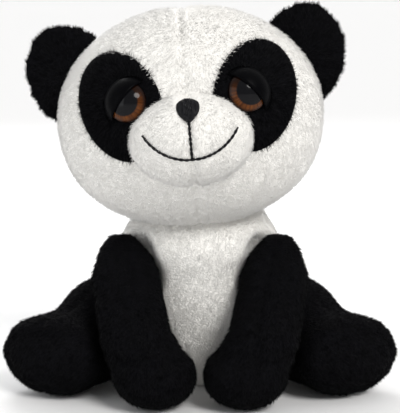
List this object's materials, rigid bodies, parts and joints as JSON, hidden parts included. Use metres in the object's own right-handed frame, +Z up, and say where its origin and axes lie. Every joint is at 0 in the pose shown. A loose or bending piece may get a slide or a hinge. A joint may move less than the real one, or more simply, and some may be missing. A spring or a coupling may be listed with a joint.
{
  "type": "plush panda",
  "caption": "Seated stuffed panda: round head with eye patches and domed eyes, folding ears, arms that swing at the shoulder and legs that splay, flat seat.",
  "frame": {"origin": "centre of the flat seat under the torso, on the surface the panda sits on", "axes": "+Z up, -Y the way the panda faces, +X the panda's own left"},
  "size_m": [0.2038, 0.124, 0.199],
  "materials": {
    "white_plush": "short soft pile",
    "black_plush": "short soft pile",
    "black_thread": "satin stitch",
    "white_thread": "plain thread",
    "fibre_fill": "loose fibre",
    "eye_clear": "polished clear plastic",
    "eye_amber": "painted, glossy",
    "eye_black": "moulded, glossy",
    "lid_black": "smooth, satin",
    "washer_white": "moulded",
    "pouch_cloth": "plain weave",
    "pellet_plastic": "loose pellets",
    "label_cloth": "woven tape"
  },
  "bodies": {
    "torso": {"belly_panel": "white_plush", "back_left": "white_plush", "back_right": "white_plush", "seat_panel": "white_plush", "torso_stuffing": "fibre_fill", "pellet_pouch": "pouch_cloth", "pellets": "pellet_plastic", "closing_stitches": "white_thread", "label": "label_cloth"},
    "neck": {"neck_stuffing": "fibre_fill", "neck_thread": "white_thread"},
    "head": {"face_left": "white_plush", "face_right": "white_plush", "head_back_left": "white_plush", "head_back_right": "white_plush", "muzzle_left": "white_plush", "muzzle_right": "white_plush", "eye_patch_left": "black_plush", "eye_patch_right": "black_plush", "nose": "black_thread", "mouth": "black_thread", "head_stuffing": "fibre_fill", "eye_lens_left": "eye_clear", "eye_lens_right": "eye_clear", "eye_iris_left": "eye_amber", "eye_iris_right": "eye_amber", "eye_back_left": "eye_black", "eye_back_right": "eye_black", "eye_washer_left": "washer_white", "eye_washer_right": "washer_white", "eyelid_left": "lid_black", "eyelid_right": "lid_black"},
    "ear_left": {"ear_front_left": "black_plush", "ear_back_left": "black_plush", "ear_stuffing_left": "fibre_fill"},
    "ear_right": {"ear_front_right": "black_plush", "ear_back_right": "black_plush", "ear_stuffing_right": "fibre_fill"},
    "arm_left": {"arm_inner_left": "black_plush", "arm_outer_left": "black_plush", "paw_left": "black_plush", "arm_stuffing_left": "fibre_fill"},
    "arm_right": {"arm_inner_right": "black_plush", "arm_outer_right": "black_plush", "paw_right": "black_plush", "arm_stuffing_right": "fibre_fill"},
    "leg_left": {"leg_inner_left": "black_plush", "leg_outer_left": "black_plush", "foot_sole_left": "black_plush", "leg_stuffing_left": "fibre_fill"},
    "leg_right": {"leg_inner_right": "black_plush", "leg_outer_right": "black_plush", "foot_sole_right": "black_plush", "leg_stuffing_right": "fibre_fill"}
  },
  "joints": [
    {"name": "head_turn", "type": "hinge", "parent": "torso", "child": "neck", "pos_m": [0, -0.005, 0.085], "axis": [0, 0, 1], "range_deg": [-20, 20], "stiffness_Nm_per_rad": 0.06},
    {"name": "head_nod", "type": "hinge", "parent": "neck", "child": "head", "pos_m": [0, -0.005, 0.085], "axis": [1, 0, 0], "range_deg": [-12, 12], "stiffness_Nm_per_rad": 0.4},
    {"name": "ear_fold_left", "type": "hinge", "parent": "head", "child": "ear_left", "pos_m": [0.05409, -0.002, 0.17215], "axis": [0.594, 0, -0.8045], "range_deg": [-20, 20], "stiffness_Nm_per_rad": 0.02},
    {"name": "ear_fold_right", "type": "hinge", "parent": "head", "child": "ear_right", "pos_m": [-0.0684, -0.002, 0.16143], "axis": [0.4453, 0, 0.8954], "range_deg": [-20, 20], "stiffness_Nm_per_rad": 0.02},
    {"name": "arm_swing_left", "type": "hinge", "parent": "torso", "child": "arm_left", "pos_m": [0.03983, -0.02648, 0.07133], "axis": [-1, 0, 0], "range_deg": [0, 60]},
    {"name": "arm_swing_right", "type": "hinge", "parent": "torso", "child": "arm_right", "pos_m": [-0.03983, -0.02648, 0.07133], "axis": [-1, 0, 0], "range_deg": [0, 60]},
    {"name": "leg_splay_left", "type": "hinge", "parent": "torso", "child": "leg_left", "pos_m": [0.048, -0.006, 0.0285], "axis": [0, 0, 1], "range_deg": [0, 30]},
    {"name": "leg_splay_right", "type": "hinge", "parent": "torso", "child": "leg_right", "pos_m": [-0.048, -0.006, 0.0285], "axis": [0, 0, -1], "range_deg": [0, 30]}
  ]
}
